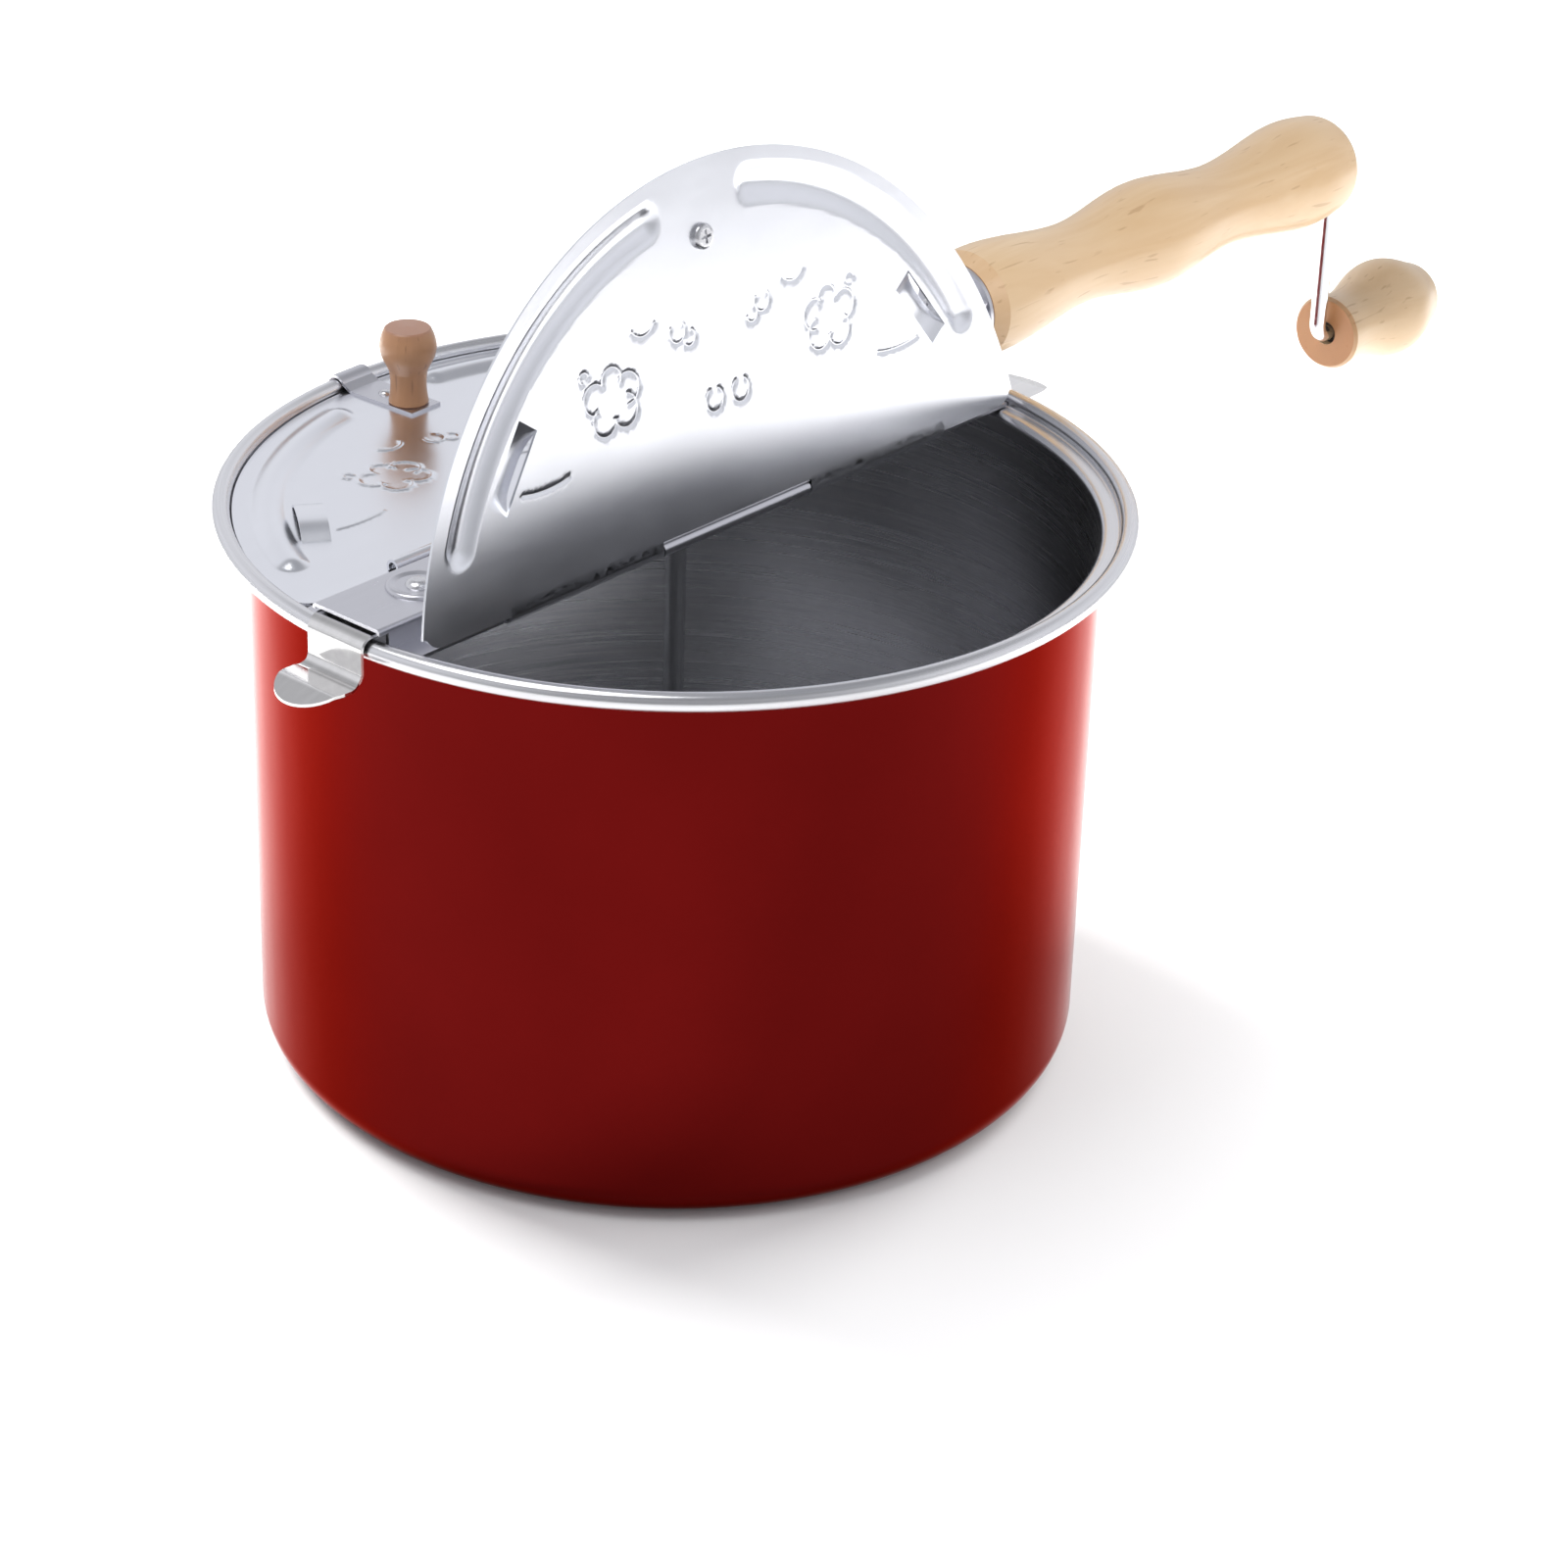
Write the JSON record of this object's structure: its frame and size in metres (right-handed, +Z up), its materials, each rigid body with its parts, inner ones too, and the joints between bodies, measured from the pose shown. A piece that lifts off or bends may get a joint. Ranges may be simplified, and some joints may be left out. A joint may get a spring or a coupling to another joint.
{
  "type": "popcorn maker",
  "caption": "Stovetop popcorn pot with folding half lids on a bridge, a wooden hand crank and a geared stirrer.",
  "frame": {"origin": "centre of the pot's flat underside, where it rests on the hob", "axes": "+X along the lid bridge towards the wooden handle, +Y towards the left half lid, +Z up"},
  "size_m": [0.525, 0.2593, 0.2638],
  "materials": {
    "red_enamel": "high-gloss red enamel outside; the rim, ledge and inside are bare satin steel",
    "lid_steel": "bright rolled sheet with a soft mirror",
    "stamped_steel": "satin stamped sheet",
    "clip_steel": "polished spring sheet",
    "fastener_steel": "plated",
    "rod_steel": "smooth drawn rod",
    "gear_steel": "machined",
    "gear_nylon": "natural nylon",
    "bushing_brass": "turned",
    "sleeve_plastic": "dark acetal",
    "pale_wood": "turned pale hardwood with a satin lacquer",
    "knob_wood": "turned hardwood, warmer tone, satin lacquer"
  },
  "bodies": {
    "pot": {"pot": "red_enamel"},
    "lid_frame": {"bridge": "stamped_steel", "left_hinge_pin": "fastener_steel", "right_hinge_pin": "fastener_steel", "front_clip_root": "clip_steel", "rear_clip_root": "clip_steel", "clip_washer": "stamped_steel", "clip_rivet": "fastener_steel", "handle_bracket": "stamped_steel", "bracket_rivets": "fastener_steel", "handle": "pale_wood", "handle_screws": "fastener_steel", "gear_bracket": "stamped_steel", "gear_bracket_rivets": "fastener_steel", "shaft_bushing": "bushing_brass"},
    "front_tongue": {"front_clip": "clip_steel"},
    "rear_tongue": {"rear_clip": "clip_steel"},
    "left_half": {"left_lid": "lid_steel", "left_catch": "stamped_steel", "left_catch_rivet": "fastener_steel", "left_knob": "knob_wood", "left_knob_screw": "fastener_steel"},
    "right_half": {"right_lid": "lid_steel", "right_knob": "knob_wood", "right_knob_screw": "fastener_steel"},
    "crank": {"crank_rod": "rod_steel", "pinion": "gear_steel", "pinion_pin": "fastener_steel", "rod_ring": "fastener_steel"},
    "grip": {"crank_knob": "pale_wood", "knob_sleeve": "sleeve_plastic"},
    "stirrer": {"stir_shaft": "rod_steel", "crown_gear": "gear_nylon", "crown_pin": "fastener_steel", "thrust_washer": "bushing_brass", "stirrer_hub": "gear_steel", "hub_screw": "fastener_steel", "stirrer_wire": "rod_steel"}
  },
  "joints": [
    {"name": "lid_lift", "type": "slide", "parent": "pot", "child": "lid_frame", "axis": [0, 0, 1], "range_m": [0, 0.18]},
    {"name": "front_clip_flex", "type": "hinge", "parent": "lid_frame", "child": "front_tongue", "pos_m": [-0.1213, 0, 0.1659], "axis": [0, 1, 0], "range_deg": [0, 8], "stiffness_Nm_per_rad": 0.6},
    {"name": "rear_clip_flex", "type": "hinge", "parent": "lid_frame", "child": "rear_tongue", "pos_m": [0.1213, 0, 0.1659], "axis": [0, -1, 0], "range_deg": [0, 8], "stiffness_Nm_per_rad": 0.6},
    {"name": "left_lid_hinge", "type": "hinge", "parent": "lid_frame", "child": "left_half", "pos_m": [0, 0.0213, 0.1629], "axis": [1, 0, 0], "range_deg": [0, 68]},
    {"name": "right_lid_hinge", "type": "hinge", "parent": "lid_frame", "child": "right_half", "pos_m": [0, -0.0213, 0.1629], "axis": [1, 0, 0], "range_deg": [0, 98.8]},
    {"name": "crank_turn", "type": "hinge", "parent": "lid_frame", "child": "crank", "pos_m": [0, 0, 0.1855], "axis": [1, 0, 0], "continuous": true},
    {"name": "grip_spin", "type": "hinge", "parent": "crank", "child": "grip", "pos_m": [0.348, 0, 0.1225], "axis": [1, 0, 0], "continuous": true},
    {"name": "stirrer_turn", "type": "hinge", "parent": "lid_frame", "child": "stirrer", "pos_m": [0, 0, 0.1], "axis": [0, 0, 1], "continuous": true}
  ],
  "couplings": [
    {"joint": "stirrer_turn", "follows": "crank_turn", "ratio": 0.5}
  ]
}
